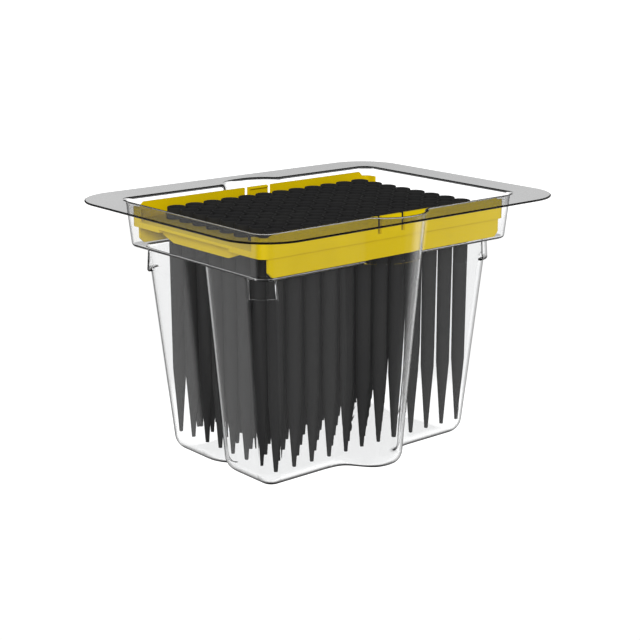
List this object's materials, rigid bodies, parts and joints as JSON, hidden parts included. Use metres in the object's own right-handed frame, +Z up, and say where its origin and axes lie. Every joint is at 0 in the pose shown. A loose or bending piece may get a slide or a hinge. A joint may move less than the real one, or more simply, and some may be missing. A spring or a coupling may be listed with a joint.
{
  "type": "box of pipette tips",
  "caption": "Clear thermoformed tray with a wide flange, finger bulges and a ledge, on which a yellow carrier stands with long black hollow pipette tips hanging in a square grid.",
  "frame": {"origin": "centre of the tray's underside, on the surface it stands on", "axes": "+X along the long side, +Y across to the back long side, +Z up"},
  "size_m": [0.1642, 0.1262, 0.1055],
  "materials": {
    "clear_sheet": "clear thermoformed sheet, glossy",
    "carrier_yellow": "satin yellow moulding",
    "tip_black": "satin black conductive moulding"
  },
  "bodies": {
    "root": {"tray": "clear_sheet", "tip_carrier": "carrier_yellow", "tips_column_01": "tip_black", "tips_column_02": "tip_black", "tips_column_03": "tip_black", "tips_column_04": "tip_black", "tips_column_05": "tip_black", "tips_column_06": "tip_black", "tips_column_07": "tip_black", "tips_column_08": "tip_black", "tips_column_09": "tip_black", "tips_column_10": "tip_black", "tips_column_11": "tip_black", "tips_column_12": "tip_black"}
  },
  "joints": []
}
